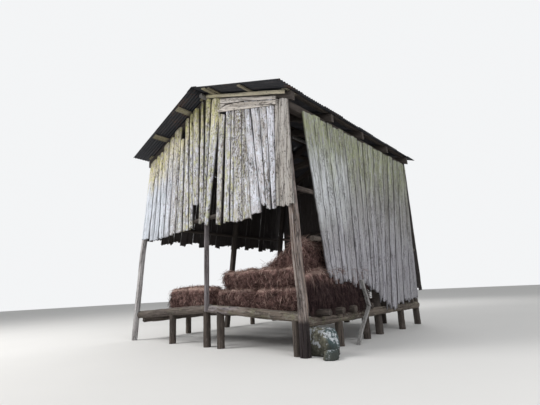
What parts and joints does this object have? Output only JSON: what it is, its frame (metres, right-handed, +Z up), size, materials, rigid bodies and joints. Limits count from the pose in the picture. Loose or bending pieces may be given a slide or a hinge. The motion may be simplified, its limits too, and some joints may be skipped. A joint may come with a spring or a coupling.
{
  "type": "wooden hay barn",
  "caption": "Open-fronted hay barn of hewn posts and log sills, walled with upright split slabs under a corrugated sheet gable roof, with bales on its pole floor.",
  "frame": {"origin": "middle of the plan, on the level of the feet of the posts and stones", "axes": "+X to the right across the open front gable, +Y along the ridge away from it, +Z up"},
  "size_m": [6.335, 6.638, 5.9311],
  "materials": {
    "roof_sheet": "dark weathered corrugated sheet",
    "hay": "old red-brown hay, matt and strandy",
    "field_stone": "rough stone with pale lichen",
    "weathered_slab": "silver-grey weathered slabs with lichen",
    "roof_plank": "pale sawn planks, weathered",
    "log": "grey-brown debarked logs",
    "hewn_timber": "hewn posts and poles, grey-brown"
  },
  "bodies": {
    "root": {"back_posts": "hewn_timber", "back_rails": "hewn_timber", "back_sill": "log", "back_slabs": "weathered_slab", "crooked_prop": "log", "floor_poles": "log", "front_left_post": "hewn_timber", "front_middle_post": "hewn_timber", "front_rail": "hewn_timber", "front_right_post": "hewn_timber", "front_sills": "log", "front_slabs_left": "weathered_slab", "front_slabs_right": "weathered_slab", "hay_inner_bales": "hay", "hay_left_bale": "hay", "hay_lower_row": "hay", "hay_upper_row": "hay", "king_posts": "hewn_timber", "left_purlins": "roof_plank", "left_rafters": "hewn_timber", "left_rail": "hewn_timber", "left_roof_sheets": "roof_sheet", "left_side_post": "hewn_timber", "left_sill": "log", "left_slabs": "weathered_slab", "left_wall_plate": "hewn_timber", "loose_hay": "hay", "low_stone": "field_stone", "ridge_cap": "roof_sheet", "ridge_pole": "hewn_timber", "right_purlins": "roof_plank", "right_rafters": "hewn_timber", "right_rails": "hewn_timber", "right_roof_sheets": "roof_sheet", "right_side_post": "hewn_timber", "right_sill": "log", "right_slabs_back": "weathered_slab", "right_slabs_front": "weathered_slab", "right_wall_plate": "hewn_timber", "side_hay": "hay", "sill_stone": "field_stone", "sill_stubs": "log", "tie_beams": "hewn_timber", "top_boards": "weathered_slab", "verge_plank": "roof_plank"}
  },
  "joints": []
}
